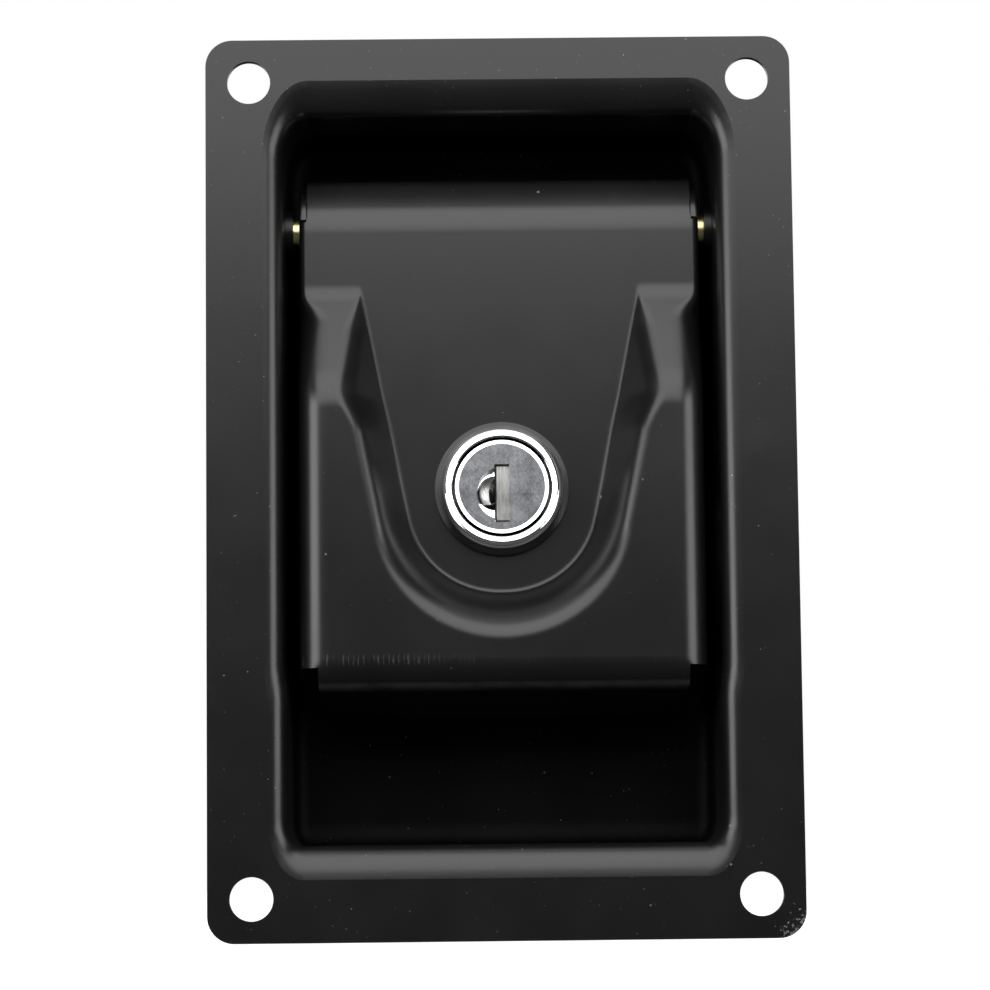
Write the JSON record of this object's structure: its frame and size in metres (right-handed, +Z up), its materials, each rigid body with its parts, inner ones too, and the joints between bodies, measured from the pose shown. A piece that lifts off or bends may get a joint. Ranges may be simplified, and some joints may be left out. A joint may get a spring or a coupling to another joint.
{
  "type": "paddle latch",
  "caption": "Flush locking paddle latch: pressed steel pan with a pivoting recessed paddle, cam lock and sprung slam bolt behind.",
  "frame": {"origin": "centre of the four fixing holes, in the plane of the flange's back face", "axes": "+X to the right and +Z up as fitted, the front faces -Y; the fixing screws run along Y"},
  "size_m": [0.099, 0.0448, 0.152],
  "materials": {
    "black_coat": "semi-gloss black powder coat",
    "chrome": "polished chrome plate",
    "brushed_cap": "brushed stainless steel",
    "yellow_zinc": "yellow zinc plate",
    "clear_zinc": "clear zinc plate",
    "spring_steel": "oiled spring steel",
    "cast_zinc": "satin cast zinc",
    "wafer_brass": "stamped brass"
  },
  "bodies": {
    "pan_body": {"mounting_pan": "black_coat", "hinge_pin": "yellow_zinc", "pin_clip": "clear_zinc", "lock_keeper": "clear_zinc", "keeper_rivets": "clear_zinc", "bolt_guide": "clear_zinc", "guide_rivets": "clear_zinc", "spring_rods": "clear_zinc", "bolt_springs": "spring_steel", "paddle_spring_left": "spring_steel", "paddle_spring_right": "spring_steel"},
    "paddle_body": {"paddle": "black_coat", "release_lever": "clear_zinc", "lock_housing": "chrome", "lock_washer": "clear_zinc", "lock_nut": "clear_zinc"},
    "plug_body": {"lock_plug": "chrome", "plug_face": "brushed_cap", "plug_wafers": "wafer_brass", "shutter_pin": "clear_zinc", "lock_cam": "clear_zinc", "cam_washer": "clear_zinc", "cam_screw": "clear_zinc"},
    "shutter_body": {"keyway_shutter": "brushed_cap"},
    "bolt_body": {"latch_bolt": "cast_zinc", "bolt_carrier": "clear_zinc", "bolt_screws": "clear_zinc"}
  },
  "joints": [
    {"name": "paddle_hinge", "type": "hinge", "parent": "pan_body", "child": "paddle_body", "pos_m": [0, 0.0145, 0.0456], "axis": [-1, 0, 0], "range_deg": [0, 35], "stiffness_Nm_per_rad": 0.3, "springref_deg": -57.3, "deforming": ["paddle_spring_left", "paddle_spring_right"]},
    {"name": "bolt_slide", "type": "slide", "parent": "pan_body", "child": "bolt_body", "axis": [0, 0, -1], "range_m": [0, 0.011], "stiffness_N_per_m": 700, "springref_m": -0.012, "deforming": ["bolt_springs"]},
    {"name": "lock_turn", "type": "hinge", "parent": "paddle_body", "child": "plug_body", "pos_m": [0, 0.01, 0], "axis": [0, 1, 0], "range_deg": [0, 90]},
    {"name": "shutter_flap", "type": "hinge", "parent": "plug_body", "child": "shutter_body", "pos_m": [0.00165, 0.0043, -0.0011], "axis": [0, 0, -1], "range_deg": [0, 80], "stiffness_Nm_per_rad": 0.00005, "springref_deg": -28.65}
  ],
  "couplings": [
    {"joint": "bolt_slide", "follows": "paddle_hinge", "m_per_rad": 0.018}
  ]
}
